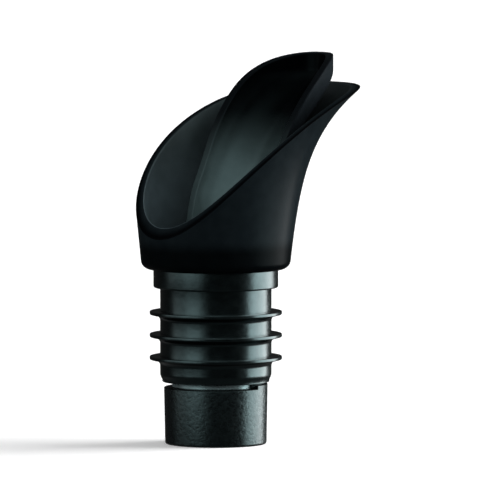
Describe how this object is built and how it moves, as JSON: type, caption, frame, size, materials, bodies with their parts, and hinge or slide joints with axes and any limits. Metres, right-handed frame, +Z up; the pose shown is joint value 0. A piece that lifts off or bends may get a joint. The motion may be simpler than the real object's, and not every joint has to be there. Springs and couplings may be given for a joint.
{
  "type": "liquor pour spout",
  "caption": "Bottle pour spout: an open pouring scoop inside a flared drip cup, on a vented tube in a finned rubber stopper.",
  "frame": {"origin": "bottom centre of the whole outline: on the plane of the tube's lower end, midway between the back of the cup and the tip of its lip; the tube's own vertical axis is 7.6 mm behind it, at x = -0.0076 m", "axes": "+Z up along the tube, from the bottle towards the spout; +X the way the liquid leaves; Y across the spout, which is symmetric about y = 0"},
  "size_m": [0.0408, 0.028, 0.0617],
  "materials": {
    "gloss_black": "polished black moulded plastic",
    "textured_black": "spark-textured black moulded plastic",
    "dark_rubber": "satin charcoal rubber"
  },
  "bodies": {
    "stopper": {"rubber_stopper": "dark_rubber"},
    "head": {"outer_cup": "gloss_black", "inner_spout": "gloss_black", "core_tube": "textured_black"}
  },
  "joints": [
    {"name": "head_swivel", "type": "hinge", "parent": "stopper", "child": "head", "pos_m": [-0.0076, 0, 0.02504], "axis": [0, 0, 1], "continuous": true}
  ]
}
